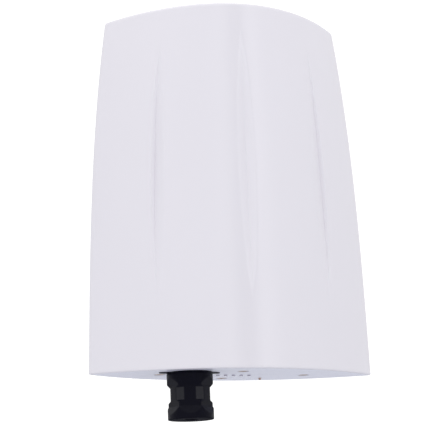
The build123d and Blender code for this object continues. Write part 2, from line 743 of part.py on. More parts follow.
with BuildPart() as light_pipe:
    with BuildSketch(level(-WINDOW_PROUD)):
        with Locations(*WINDOW_PLACES):
            Circle(WINDOW_RADIUS)
    extrude(amount=WINDOW_PROUD + BOARD_BOTTOM - FIT_GAP)
    with BuildSketch(level(COVER_THICKNESS + FIT_GAP)):
        with Locations((WINDOW_X, WINDOW_Y)):
            RectangleRounded(WINDOW_PITCH * WINDOW_COUNT, LIGHT_BAR_DEPTH, 1.5)
    extrude(amount=LIGHT_BAR_HEIGHT)
save(light_pipe.part, "light_pipe")

with BuildPart() as coax_jack:
    with BuildSketch(upright(BOARD_FRONT_Y)):
        with Locations((COAX_X, COAX_JACK_BOTTOM + COAX_JACK_SIZE[2] / 2)):
            Rectangle(COAX_JACK_SIZE[0], COAX_JACK_SIZE[2])
    extrude(amount=COAX_JACK_SIZE[1])
    with BuildSketch(level(COAX_JACK_BOTTOM + COAX_JACK_SIZE[2])):
        with Locations((COAX_X, COAX_Y)):
            Circle(COAX_BARREL_RADIUS)
    extrude(amount=COAX_BARREL_HEIGHT)
save(coax_jack.part, "coax_jack")

# ---------------------------------------------------------------- yagi array
ELEMENT_HEIGHTS = [REFLECTOR[0], DRIVEN[0]] + [height for height, _ in DIRECTORS]
with BuildPart() as boom:
    with BuildSketch(level(BOOM_BOTTOM)):
        with Locations((0, BOOM_Y)):
            Rectangle(BOOM_SIZE, BOOM_SIZE)
            Rectangle(
                BOOM_SIZE - 2 * BOOM_WALL, BOOM_SIZE - 2 * BOOM_WALL, mode=Mode.SUBTRACT
            )
    extrude(amount=BOOM_TOP - BOOM_BOTTOM)
    with BuildSketch(upright(CARRIER_Y)):
        with Locations(*BOOM_SCREW_PLACES):
            Circle(SMALL_SCREW_RADIUS + THREAD_GAP)
    extrude(amount=BOOM_WALL + FIT_GAP, mode=Mode.SUBTRACT)
save(boom.part, "boom")


rod(*REFLECTOR, "reflector")
for number, (height, half_length) in enumerate(DIRECTORS, start=1):
    rod(height, half_length, f"director_{number}")

with BuildPart() as driven_element:
    for side in (-1, 1):
        with BuildSketch(side_plane(side * DRIVEN_GAP / 2)):
            with Locations((ELEMENT_Y, DRIVEN[0])):
                Circle(ELEMENT_RADIUS)
        extrude(amount=side * (DRIVEN[1] - DRIVEN_GAP / 2))
save(driven_element.part, "driven_element")

clamp_rear = BOOM_Y - BOOM_SIZE / 2
with BuildPart() as element_clamps:
    with BuildSketch(upright(clamp_rear)):
        with Locations(*[(0, height) for height in ELEMENT_HEIGHTS]):
            RectangleRounded(CLAMP_SIZE[0], CLAMP_SIZE[2], 1.5)
    extrude(amount=CLAMP_SIZE[1])
    for height in ELEMENT_HEIGHTS:
        with BuildSketch(side_plane(-CLAMP_SIZE[0])):
            with Locations((ELEMENT_Y, height)):
                Circle(ELEMENT_RADIUS)
        extrude(amount=2 * CLAMP_SIZE[0], mode=Mode.SUBTRACT)
save(element_clamps.part, "element_clamps")

feed_rear = clamp_rear - CLAMP_SIZE[1]
with BuildPart() as feed_board:
    with BuildSketch(upright(feed_rear)):
        with Locations((0, DRIVEN[0])):
            RectangleRounded(FEED_BOARD_SIZE[0], FEED_BOARD_SIZE[2], 1)
    extrude(amount=FEED_BOARD_SIZE[1])
save(feed_board.part, "feed_board")

with BuildPart() as feed_coax:
    with BuildLine() as route:
        FilletPolyline(
            *[(x, y - PAD_SETBACK, height - PAD_HEIGHT) for x, y, height in COAX_ROUTE],
            radius=COAX_BENDS,
        )
    with BuildSketch(level(COAX_ROUTE[0][2])):
        with Locations((COAX_X, COAX_Y)):
            Circle(COAX_RADIUS)
    sweep()
save(feed_coax.part, "feed_coax")
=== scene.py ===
"""Looks of the antenna unit: radome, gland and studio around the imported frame. Metres, +Z up."""

import json
from collections import namedtuple
from math import atan2, cos, exp, hypot, log, pi, radians, sin, sqrt

import bmesh
import bpy
from mathutils import Matrix, Vector

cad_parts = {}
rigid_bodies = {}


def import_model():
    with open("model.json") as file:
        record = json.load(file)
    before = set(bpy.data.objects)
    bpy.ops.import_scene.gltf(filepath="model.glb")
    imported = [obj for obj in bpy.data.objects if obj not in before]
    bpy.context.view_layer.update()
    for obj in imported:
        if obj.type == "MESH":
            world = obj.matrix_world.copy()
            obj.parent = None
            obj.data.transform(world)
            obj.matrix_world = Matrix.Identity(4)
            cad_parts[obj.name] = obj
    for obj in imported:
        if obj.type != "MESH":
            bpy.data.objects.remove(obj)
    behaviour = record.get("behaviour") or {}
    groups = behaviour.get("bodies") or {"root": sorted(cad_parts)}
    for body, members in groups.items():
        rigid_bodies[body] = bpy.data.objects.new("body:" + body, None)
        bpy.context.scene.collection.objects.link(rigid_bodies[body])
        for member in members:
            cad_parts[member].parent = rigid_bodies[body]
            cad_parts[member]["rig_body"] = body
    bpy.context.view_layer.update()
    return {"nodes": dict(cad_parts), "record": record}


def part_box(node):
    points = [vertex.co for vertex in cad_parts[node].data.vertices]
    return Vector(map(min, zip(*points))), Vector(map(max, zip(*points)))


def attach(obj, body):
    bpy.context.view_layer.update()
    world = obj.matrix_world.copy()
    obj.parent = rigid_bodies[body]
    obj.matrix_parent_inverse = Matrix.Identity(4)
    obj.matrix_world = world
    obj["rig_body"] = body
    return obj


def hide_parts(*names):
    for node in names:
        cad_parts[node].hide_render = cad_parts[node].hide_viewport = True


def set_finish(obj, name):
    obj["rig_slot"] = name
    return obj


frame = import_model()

MM = 0.001

# ---------------------------------------------------------------- places read from the frame
pad_mount = next(m for m in frame["record"]["mounts"] if m["name"] == "bracket_pad")
rim_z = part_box("radome")[0].z
crown_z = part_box("radome")[1].z
gland_low, gland_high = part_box("gland_nut")
gland_x = (gland_low.x + gland_high.x) / 2
gland_y = (gland_low.y + gland_high.y) / 2

# ---------------------------------------------------------------- radome sizes (millimetres)
CORNER_HEIGHT = 218.0
CROWN_HEIGHT = (crown_z - rim_z) / MM
BASE_HALF_WIDTH = 92.0
TAPER_STRAIGHT = 7.6
TAPER_CURVED = 9.4
FRONT_RISE = (38.4, 34.3)
REAR_RISE = (33.6, 30.0)
TIP_RADIUS = 3.0
TIP_OVERLAP = 0.48           # share of the tip radius by which the two arcs overrun the tips
WALL = 3.4
RECESS_INSET = 1.7
RECESS_HEIGHT = 4.0
TOP_EDGE_RADIUS = 1.2
RIM_EDGE_RADIUS = 0.8
PAD_SETBACK = 34.0
PAD_SIZE = 64.0
PAD_CORNER_RADIUS = 6.0
PAD_EDGE_RADIUS = 0.8
PAD_ROOT = -7.0              # front end of the pad, inside the wall
POCKET_RADIUS = 3.62
POCKET_SPAN = (-9.0, 1.0)    # front and back ends of the tool that cuts a pocket

# share is the groove's place as a share of the half-width; crease is the place of its
# deepest line, from -1 at the left edge to 1 at the right one
Groove = namedtuple("Groove", "share bottom top half_width depth crease")
GROOVES = [
    Groove(-0.612, 43.0, 203.0, 4.0, 2.3, -0.375),
    Groove(0.018, 43.0, 209.0, 5.6, 1.7, 0.0),
    Groove(0.618, 43.0, 203.0, 4.0, 1.9, 0.75),
]
IDLE_HALF_WIDTH = 1.0        # column spacing kept beyond a groove's points
WIDTH_SWELL = 0.6            # powers that shape the groove along its length and across it
DEPTH_SWELL = 1.25
SLOPE_POWER = 1.3

# mesh density of the radome
PLAIN_COLUMNS = (14, 30, 30, 14)    # in the spans beside and between the grooves
GROOVE_COLUMNS = 32
TIP_COLUMNS = 4
OUTER_ROWS = 210
INNER_ROWS = 24
EDGE_STEPS = 4
CAP_STEPS = 12


# ---------------------------------------------------------------- mesh helpers
def new_piece(name, vertices, faces, body, slot, replaced=()):
    """Mesh object from vertices in millimetres of the row frame."""
    mesh = bpy.data.meshes.new(name)
    mesh.from_pydata([Vector(v) * MM for v in vertices], [], faces)
    mesh.validate()
    shape = bmesh.new()
    shape.from_mesh(mesh)
    bmesh.ops.remove_doubles(shape, verts=shape.verts, dist=1e-7)
    bmesh.ops.recalc_face_normals(shape, faces=shape.faces)
    shape.to_mesh(mesh)
    shape.free()
    piece = bpy.data.objects.new(name, mesh)
    bpy.context.scene.collection.objects.link(piece)
    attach(piece, body)
    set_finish(piece, slot)
    if replaced:
        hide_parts(*replaced)
    return piece


def smooth(piece, angle=35):
    """Smooth shading that stays sharp at edges over the angle."""
    mesh = piece.data
    mesh.polygons.foreach_set("use_smooth", [True] * len(mesh.polygons))
    mesh.set_sharp_from_angle(angle=radians(angle))


def strip_faces(rows, closed):
    """Quads between neighbouring rows of vertex numbers."""
    faces = []
    for low, high in zip(rows, rows[1:]):
        count = len(low)
        for i in range(count if closed else count - 1):
            j = (i + 1) % count
            faces.append((low[i], low[j], high[j], high[i]))
    return faces


# ---------------------------------------------------------------- radome surface
def half_width(height):
    share = height / CORNER_HEIGHT
    return BASE_HALF_WIDTH - TAPER_STRAIGHT * share - TAPER_CURVED * share**3


def between(ends, height):
    return ends[0] + (ends[1] - ends[0]) * height / CORNER_HEIGHT


def arc_radius(half_chord, rise):
    return (half_chord**2 + rise**2) / (2 * rise)


def arch_height(x, crown):
    """Height of the arched top over the rim at x."""
    radius = arc_radius(half_width(CORNER_HEIGHT), CROWN_HEIGHT - CORNER_HEIGHT)
    return crown - radius + sqrt(radius**2 - x**2)


class Lens:
    """Lens outline at one height: a front arc, a rear arc and two rounded tips."""

    def __init__(self, height, inset):
        chord = half_width(height) + TIP_OVERLAP * TIP_RADIUS
        front, rear = between(FRONT_RISE, height), between(REAR_RISE, height)
        self.front_radius = arc_radius(chord, front) - inset
        self.front_centre = self.front_radius + inset - front
        self.rear_radius = arc_radius(chord, rear) - inset
        self.rear_centre = rear - self.rear_radius - inset
        self.tip = max(TIP_RADIUS - inset, 1.0)
        reach_f = self.front_radius - self.tip
        reach_r = self.rear_radius - self.tip
        squares = reach_r**2 - reach_f**2 + self.front_centre**2 - self.rear_centre**2
        self.tip_y = squares / (2 * (self.front_centre - self.rear_centre))
        self.tip_x = sqrt(reach_f**2 - (self.tip_y - self.front_centre) ** 2)
        self.front_limit = self.tip_x * self.front_radius / reach_f
        self.rear_limit = self.tip_x * self.rear_radius / reach_r

    def front(self, x):
        return self.front_centre - sqrt(self.front_radius**2 - x**2)

    def rear(self, x):
        return self.rear_centre + sqrt(self.rear_radius**2 - x**2)

    def front_normal(self, x):
        y = self.front(x) - self.front_centre
        return x / self.front_radius, y / self.front_radius

    def tip_point(self, side, share, front):
        """Point on a rounded tip: share 0 is its middle, 1 is where the arc begins."""
        limit = self.front_limit if front else self.rear_limit
        y = self.front(limit) if front else self.rear(limit)
        angle = atan2(y - self.tip_y, limit - self.tip_x) * share
        return side * (self.tip_x + self.tip * cos(angle)), self.tip_y + self.tip * sin(angle)


def groove_span(groove, height):
    """Half-width of a groove at a height, and how deep it is there, from 0 to 1."""
    share = (height - groove.bottom) / (groove.top - groove.bottom)
    if not 0 < share < 1:
        return IDLE_HALF_WIDTH, 0.0
    swell = sin(pi * share)
    return max(IDLE_HALF_WIDTH, groove.half_width * swell**WIDTH_SWELL), swell**DEPTH_SWELL


def groove_profile(place, crease):
    """Depth, 0 to 1, across a groove; place runs from -1 to 1, deepest at the crease."""
    edge = -1 if place < crease else 1
    near = (place - edge) / (crease - edge)
    return near**SLOPE_POWER


# Columns of the surface, left tip to right tip. A column keeps its kind at every
# height, so the edges of the grooves always lie on columns.
COLUMNS = (
    [("tip", -1, i / TIP_COLUMNS) for i in range(TIP_COLUMNS)]
    + [
        column
        for span, count in enumerate(PLAIN_COLUMNS)
        for column in (
            [("plain", span, i / count) for i in range(count)]
            + [
                ("groove", span, -1 + 2 * i / GROOVE_COLUMNS)
                for i in range(GROOVE_COLUMNS)
                if span < len(GROOVES)
            ]
        )
    ]
    + [("tip", 1, 1 - i / TIP_COLUMNS) for i in range(TIP_COLUMNS + 1)]
)


def surface_point(column, front, height, inset=0.0, grooved=False):
    """x and y of a column of the front or rear surface at a height over the rim."""
    lens = Lens(height, inset)
    kind, number, share = column
    if kind == "tip":
        return lens.tip_point(number, share, front)
    limit = lens.front_limit if front else lens.rear_limit
    middles = [groove.share * half_width(height) for groove in GROOVES]
    reaches = [groove_span(groove, height)[0] for groove in GROOVES]
    if kind == "plain":
        start = -limit if number == 0 else middles[number - 1] + reaches[number - 1]
        end = limit if number == len(GROOVES) else middles[number] - reaches[number]
        x = start + (end - start) * share
    else:
        x = middles[number] + reaches[number] * share
    if not front:
        return x, lens.rear(x)
    y = lens.front(x)
    if kind == "groove" and grooved:
        groove = GROOVES[number]
        depth = groove.depth * groove_span(groove, height)[1]
        depth *= groove_profile(share, groove.crease)
        nx, ny = lens.front_normal(x)
        x, y = x - nx * depth, y - ny * depth
    return x, y


def top_height(column, front, inset, crown):
    """Height where a column meets the arched top."""
    height = CORNER_HEIGHT
    for _ in range(4):
        height = arch_height(surface_point(column, front, height, inset)[0], crown)
    return height


def radome_mesh():
    vertices = []

    def ring(place):
        """Closed row: front columns left to right, then rear columns back again.

        place gives the height and the inset for a column.
        """
        numbers = []
        around = [(c, True) for c in COLUMNS] + [(c, False) for c in reversed(COLUMNS)]
        for column, front in around:
            height, inset = place(column, front)
            x, y = surface_point(column, front, height, inset, grooved=inset < WALL)
            numbers.append(len(vertices))
            vertices.append((x, y - PAD_SETBACK, height + rim_z / MM))
        return numbers

    def cap(row, crown):
        """Arched sheet between the front half and the rear half of a row."""
        half = len(COLUMNS)
        front, rear = row[:half], row[half:][::-1]
        lines = [front]
        for step in range(1, CAP_STEPS):
            share = step / CAP_STEPS
            line = []
            for a, b in zip(front, rear):
                x = vertices[a][0] * (1 - share) + vertices[b][0] * share
                y = vertices[a][1] * (1 - share) + vertices[b][1] * share
                line.append(len(vertices))
                vertices.append((x, y, arch_height(x, crown) + rim_z / MM))
            lines.append(line)
        lines.append(rear)
        return strip_faces(lines, closed=False)

    def wall_place(share, low, inset, crown, drop):
        def place(column, front):
            high = top_height(column, front, inset, crown) - drop
            return low + (high - low) * share, inset
        return place

    def level_place(height, inset):
        return lambda column, front: (height, inset)

    def edge_place(angle):
        """Rounded top edge: angle 0 is the wall, a right angle is the roof."""
        inset = TOP_EDGE_RADIUS * (1 - cos(angle))

        def place(column, front):
            high = top_height(column, front, inset, CROWN_HEIGHT)
            return high - TOP_EDGE_RADIUS * (1 - sin(angle)), inset
        return place

    # inner wall, down from the roof of the cavity
    inner_crown = CROWN_HEIGHT - WALL
    inner = [
        ring(wall_place(1 - i / INNER_ROWS, RECESS_HEIGHT, WALL, inner_crown, 0))
        for i in range(INNER_ROWS + 1)
    ]
    # ledge, recess for the base cover, lip and its rounded outer edge
    lip = [ring(level_place(RECESS_HEIGHT, RECESS_INSET)), ring(level_place(0, RECESS_INSET))]
    for i in range(EDGE_STEPS + 1):
        angle = pi / 2 * (1 - i / EDGE_STEPS)
        lip.append(ring(level_place(
            RIM_EDGE_RADIUS * (1 - sin(angle)), RIM_EDGE_RADIUS * (1 - cos(angle)))))
    outer = [
        ring(wall_place(i / OUTER_ROWS, RIM_EDGE_RADIUS, 0, CROWN_HEIGHT, TOP_EDGE_RADIUS))
        for i in range(1, OUTER_ROWS + 1)
    ]
    edge = [ring(edge_place(pi / 2 * i / EDGE_STEPS)) for i in range(1, EDGE_STEPS + 1)]
    rows = inner + lip + outer + edge
    faces = strip_faces(rows, closed=True)
    faces += cap(rows[0], inner_crown) + cap(rows[-1], CROWN_HEIGHT)
    return vertices, faces


def make_radome():
    piece = new_piece("radome_shell", *radome_mesh(), "housing", "radome_white", ["radome"])
    smooth(piece, 32)
    return piece


def cut(piece, tool):
    """Takes the tool's volume out of the piece for good."""
    change = piece.modifiers.new("cut", "BOOLEAN")
    change.operation = "DIFFERENCE"
    change.solver = "EXACT"
    change.object = tool
    bpy.context.view_layer.update()
    result = bpy.data.meshes.new_from_object(
        piece.evaluated_get(bpy.context.evaluated_depsgraph_get()))
    piece.modifiers.clear()
    piece.data = result
    bpy.data.objects.remove(tool)


def quarter_turn():
    """Angles from 0 to a right angle, for a rounded edge."""
    return [pi / 2 * i / EDGE_STEPS for i in range(EDGE_STEPS + 1)]


def prism(outline, y_front, y_back, bevel):
    """Loose block from an outline in x and z (mm), its rear edge rounded."""
    rows = []
    vertices = []
    centre = pad_mount["pos_m"][0] / MM, pad_mount["pos_m"][2] / MM
    profile = [(y_front, 0.0)] + [
        (y_back - bevel * (1 - sin(turn)), bevel * (1 - cos(turn))) for turn in quarter_turn()
    ]
    for y, inset in profile:
        row = []
        for x, z in outline:
            reach = hypot(x, z)
            row.append(len(vertices))
            vertices.append((
                centre[0] + x * (1 - inset / reach), y, centre[1] + z * (1 - inset / reach)))
        rows.append(row)
    faces = strip_faces(rows, closed=True)
    faces.append(rows[0][::-1])
    faces.append(rows[-1])
    return vertices, faces


def rounded_square(size, radius, steps):
    points = []
    for corner in range(4):
        middle = pi / 4 + corner * pi / 2
        cx = (size / 2 - radius) * (1 if cos(middle) > 0 else -1)
        cz = (size / 2 - radius) * (1 if sin(middle) > 0 else -1)
        for i in range(steps + 1):
            angle = corner * pi / 2 + pi / 2 * i / steps
            points.append((cx + radius * cos(angle), cz + radius * sin(angle)))
    return points


def disc_tool(x, z, radius, y_front, y_back, sides=64):
    """Cylinder along Y, used to cut a hole."""
    turns = [2 * pi * i / sides for i in range(sides)]
    ring = [(x + cos(turn) * radius, z + sin(turn) * radius) for turn in turns]
    low = [(a, y_front, b) for a, b in ring]
    high = [(a, y_back, b) for a, b in ring]
    rows = [list(range(sides)), list(range(sides, 2 * sides))]
    faces = strip_faces(rows, closed=True) + [tuple(rows[0][::-1]), tuple(rows[1])]
    mesh = bpy.data.meshes.new("tool")
    mesh.from_pydata([Vector(v) * MM for v in low + high], [], faces)
    tool = bpy.data.objects.new("tool", mesh)
    bpy.context.scene.collection.objects.link(tool)
    return tool


def make_pad():
    """Mounting pad on the back, with a pocket for each threaded insert."""
    outline = rounded_square(PAD_SIZE, PAD_CORNER_RADIUS, 8)
    vertices, faces = prism(outline, PAD_ROOT, 0.0, PAD_EDGE_RADIUS)
    piece = new_piece("radome_pad", vertices, faces, "housing", "radome_white")
    dims = pad_mount["dims"]
    for side_x in (-1, 1):
        for side_z in (-1, 1):
            x = side_x * dims["spacing_x_mm"] / 2
            z = side_z * dims["spacing_y_mm"] / 2
            cut(piece, disc_tool(x, z, POCKET_RADIUS, *POCKET_SPAN))
    smooth(piece, 40)
    return piece


# ---------------------------------------------------------------- cable gland
COLLAR_RADIUS = (gland_high.x - gland_low.x) / 2 / MM
FLAT_DISTANCE = 11.6
FLAT_ANGLE = radians(-110)
COLLAR_HEIGHT = 3.0
RAMP_HEIGHT = 4.7
WAIST_RADIUS = 12.1
WAIST_TOP = 9.5
WAIST_BOTTOM = 17.4
THREAD_RADIUS = 9.8
THREAD_PITCH = 1.5
THREAD_DEPTH = 0.85
NUT_BORE_RADIUS = 9.85
MOUTH_RADIUS = 5.0
SEAT_RADIUS = 8.8
SEAT_TOP = -22.4
SEAT_BOTTOM = -26.2
STEM_BORE = 7.2
STEM_TOP = 12.0
STEM_BOTTOM = 17.0
FLANGE_THICKNESS = 0.6
FLANGE_BEVEL = 0.15
EAR_HALF_LENGTH = 19.4
EAR_HALF_WIDTH = 5.1
NUT_EDGE_RADIUS = 0.5
MOUTH_CHAMFER = 0.6
STEM_CHAMFER = 0.6
STEM_LEAD = 0.9              # how far the stem's lower end is tapered
SOFTNESS = 0.12              # rounding of the nut's moulded edges
GLAND_SIDES = 192
NUT_ROWS = 110
STEM_ROWS = 132


def soft_min(values, softness):
    """Smallest value, with the change from one to another rounded."""
    low = min(values)
    return low - softness * log(sum(exp((low - v) / softness) for v in values))


def nut_radius(angle, height, top, bottom):
    """Outer radius of the nut: collar, six flats that run out on ramps, ring at the waist."""
    offset = (angle - FLAT_ANGLE + pi / 6) % (pi / 3) - pi / 6
    flat_top = top - COLLAR_HEIGHT - RAMP_HEIGHT
    flat_bottom = bottom + COLLAR_HEIGHT + RAMP_HEIGHT
    beyond = max(height - flat_top, flat_bottom - height, 0)
    slope = (COLLAR_RADIUS - FLAT_DISTANCE) / RAMP_HEIGHT
    flat = (FLAT_DISTANCE + beyond * slope) / cos(offset)
    outside = max(height + WAIST_TOP, -WAIST_BOTTOM - height, 0)
    waist = WAIST_RADIUS + outside
    return soft_min([COLLAR_RADIUS, flat, waist], SOFTNESS)


def lathe(rows_of_points, body, slot, name, replaced=()):
    """Closed surface from rings of (radius, height) functions round the gland's axis."""
    vertices = []
    rows = []
    for ring in rows_of_points:
        row = []
        for i in range(GLAND_SIDES):
            angle = FLAT_ANGLE + 2 * pi * i / GLAND_SIDES
            radius, height = ring(angle)
            row.append(len(vertices))
            vertices.append((
                gland_x / MM + radius * cos(angle),
                gland_y / MM + radius * sin(angle),
                height + rim_z / MM,
            ))
        rows.append(row)
    faces = strip_faces(rows + [rows[0]], closed=True)
    return new_piece(name, vertices, faces, body, slot, replaced)


def plain_ring(radius, height):
    return lambda angle: (radius, height)


def make_nut():
    top = (gland_high.z - rim_z) / MM
    bottom = (gland_low.z - rim_z) / MM
    edge = NUT_EDGE_RADIUS
    rings = [plain_ring(NUT_BORE_RADIUS, top), plain_ring(COLLAR_RADIUS - edge, top)]

    def outer_ring(height, inset=0.0):
        return lambda angle: (nut_radius(angle, height, top, bottom) - inset, height)

    for turn in quarter_turn()[1:]:
        rings.append(outer_ring(top - edge * (1 - cos(turn)), edge * (1 - sin(turn))))
    for i in range(1, NUT_ROWS):
        rings.append(outer_ring(top - edge - (top - bottom - 2 * edge) * i / NUT_ROWS))
    for turn in quarter_turn():
        rings.append(outer_ring(bottom + edge * (1 - sin(turn)), edge * (1 - cos(turn))))
    rings += [
        plain_ring(MOUTH_RADIUS + MOUTH_CHAMFER, bottom),
        plain_ring(MOUTH_RADIUS, bottom + MOUTH_CHAMFER),
        plain_ring(MOUTH_RADIUS, SEAT_BOTTOM),
        plain_ring(SEAT_RADIUS, SEAT_TOP),
        plain_ring(NUT_BORE_RADIUS, SEAT_TOP),
    ]
    piece = lathe(rings, "gland_nut", "gland_black", "gland_nut_moulding", ["gland_nut"])
    smooth(piece, 40)
    return piece


def make_stem():
    """Threaded stem: one helical groove below the flange, plain above it."""
    rings = [
        plain_ring(STEM_BORE, -STEM_BOTTOM),
        plain_ring(THREAD_RADIUS - STEM_LEAD, -STEM_BOTTOM),
    ]
    low, high = -STEM_BOTTOM + STEM_CHAMFER, -FLANGE_THICKNESS - 0.2

    def thread_ring(height):
        def point(angle):
            turn = (height / THREAD_PITCH + angle / (2 * pi)) % 1
            rise = min(1, abs(turn * 2 - 1) * 1.25)
            return THREAD_RADIUS - THREAD_DEPTH * (1 - rise), height
        return point

    rings += [thread_ring(low + (high - low) * i / STEM_ROWS) for i in range(STEM_ROWS + 1)]
    rings += [
        plain_ring(THREAD_RADIUS, high + 0.1),
        plain_ring(THREAD_RADIUS, STEM_TOP - STEM_CHAMFER),
        plain_ring(THREAD_RADIUS - STEM_CHAMFER, STEM_TOP),
        plain_ring(STEM_BORE, STEM_TOP),
    ]
    piece = lathe(rings, "housing", "gland_black", "gland_stem", ["gland_body"])
    smooth(piece, 30)
    return piece


def make_flange():
    """Thin flange under the nut: a disc with two ears along X."""
    def reach(angle, inset):
        x, y = cos(angle), sin(angle)
        ear = 1 / sqrt((x / EAR_HALF_LENGTH) ** 2 + (y / EAR_HALF_WIDTH) ** 2)
        return max(COLLAR_RADIUS - 0.2, ear) - inset

    def edge_ring(height, inset):
        return lambda angle: (reach(angle, inset), height)

    hole = THREAD_RADIUS - 0.05
    rings = [
        plain_ring(hole, -FLANGE_THICKNESS),
        edge_ring(-FLANGE_THICKNESS, FLANGE_BEVEL),
        edge_ring(-FLANGE_THICKNESS + FLANGE_BEVEL, 0),
        edge_ring(0, 0),
        plain_ring(hole, 0),
    ]
    piece = lathe(rings, "housing", "gland_black", "gland_flange", ["gland_body"])
    smooth(piece, 40)
    return piece


# ---------------------------------------------------------------- materials
def math_node(tree, operation, first, second=None):
    node = tree.nodes.new("ShaderNodeMath")
    node.operation = operation
    for socket, value in zip(node.inputs, (first, second)):
        if isinstance(value, (int, float)):
            socket.default_value = value
        elif value is not None:
            tree.links.new(value, socket)
    return node.outputs[0]


class Surface:
    """Node material built round one Principled shader."""

    def __init__(self, name, roughness, metallic=0.0):
        self.material = bpy.data.materials.new(name)
        self.material.use_nodes = True
        self.nodes = self.material.node_tree.nodes
        self.links = self.material.node_tree.links
        self.shader = self.nodes["Principled BSDF"]
        self.shader.inputs["Roughness"].default_value = roughness
        self.shader.inputs["Metallic"].default_value = metallic
        self.place = self.nodes.new("ShaderNodeTexCoord").outputs["Object"]
        self.bump = None

    def noise(self, scale, detail=3.0, rough=0.5, stretch=None):
        place = self.place
        if stretch:
            mapping = self.nodes.new("ShaderNodeMapping")
            mapping.inputs["Scale"].default_value = stretch
            self.links.new(place, mapping.inputs["Vector"])
            place = mapping.outputs["Vector"]
        noise = self.nodes.new("ShaderNodeTexNoise")
        noise.inputs["Scale"].default_value = scale
        noise.inputs["Detail"].default_value = detail
        noise.inputs["Roughness"].default_value = rough
        self.links.new(place, noise.inputs["Vector"])
        return noise.outputs["Fac"]

    def ramp(self, factor, low, high, start=0.35, end=0.65):
        ramp = self.nodes.new("ShaderNodeValToRGB")
        ramp.color_ramp.elements[0].position = start
        ramp.color_ramp.elements[1].position = end
        ramp.color_ramp.elements[0].color = (*low, 1)
        ramp.color_ramp.elements[1].color = (*high, 1)
        self.links.new(factor, ramp.inputs["Fac"])
        return ramp.outputs["Color"]

    def spread(self, factor, low, high):
        """Spreads a factor from 0 to 1 over a range of values."""
        node = self.nodes.new("ShaderNodeMapRange")
        node.inputs["To Min"].default_value = low
        node.inputs["To Max"].default_value = high
        self.links.new(factor, node.inputs["Value"])
        return node.outputs["Result"]

    def window(self, value, edges):
        """Mask: 1 between the inner two of four edges, fading to 0 at the outer two."""
        sides = []
        for off, on in ((edges[0], edges[1]), (edges[3], edges[2])):
            side = self.nodes.new("ShaderNodeMapRange")
            side.inputs["From Min"].default_value = off
            side.inputs["From Max"].default_value = on
            self.links.new(value, side.inputs["Value"])
            sides.append(side.outputs["Result"])
        return math_node(self.material.node_tree, "MULTIPLY", *sides)

    def colour(self, socket):
        self.links.new(socket, self.shader.inputs["Base Color"])

    def roughness(self, socket):
        self.links.new(socket, self.shader.inputs["Roughness"])

    def relief(self, socket, strength, distance):
        bump = self.nodes.new("ShaderNodeBump")
        bump.inputs["Strength"].default_value = strength
        bump.inputs["Distance"].default_value = distance
        self.links.new(socket, bump.inputs["Height"])
        if self.bump:
            self.links.new(self.bump, bump.inputs["Normal"])
        self.bump = bump.outputs["Normal"]
        self.links.new(self.bump, self.shader.inputs["Normal"])


def shaded(colour, share):
    return tuple(c * share for c in colour)


def moulded_plastic(name, colour, roughness, grain=0.00002, variation=0.03, gloss=0.5):
    """Moulded plastic: faint flow marks in the colour, fine spark-eroded grain."""
    surface = Surface(name, roughness)
    flow = surface.noise(14, 4, 0.55, (1, 1, 0.4))
    surface.colour(surface.ramp(flow, shaded(colour, 1 - variation), colour))
    grain_noise = surface.noise(1400, 2, 0.5)
    surface.roughness(surface.spread(grain_noise, roughness * 0.8, roughness * 1.2))
    surface.relief(grain_noise, 0.25, grain)
    surface.shader.inputs["Specular IOR Level"].default_value = gloss
    return surface.material


def metal(name, colour, roughness, stretch, wear_and_sheen=0.12):
    """Drawn or machined metal: fine lines along one axis and slight dulling."""
    surface = Surface(name, roughness, 1.0)
    lines = surface.noise(900, 2, 0.6, stretch)
    dull = surface.noise(60, 4, 0.6)
    surface.colour(surface.ramp(dull, shaded(colour, 1 - wear_and_sheen), colour))
    surface.roughness(surface.spread(lines, roughness - 0.06, roughness + 0.12))
    surface.relief(lines, 0.2, 0.00002)
    return surface.material


def rubber(name, colour):
    surface = Surface(name, 0.75)
    dust = surface.noise(220, 4, 0.6)
    surface.colour(surface.ramp(dust, colour, shaded(colour, 1.8)))
    surface.relief(dust, 0.3, 0.00005)
    surface.shader.inputs["Specular IOR Level"].default_value = 0.3
    return surface.material


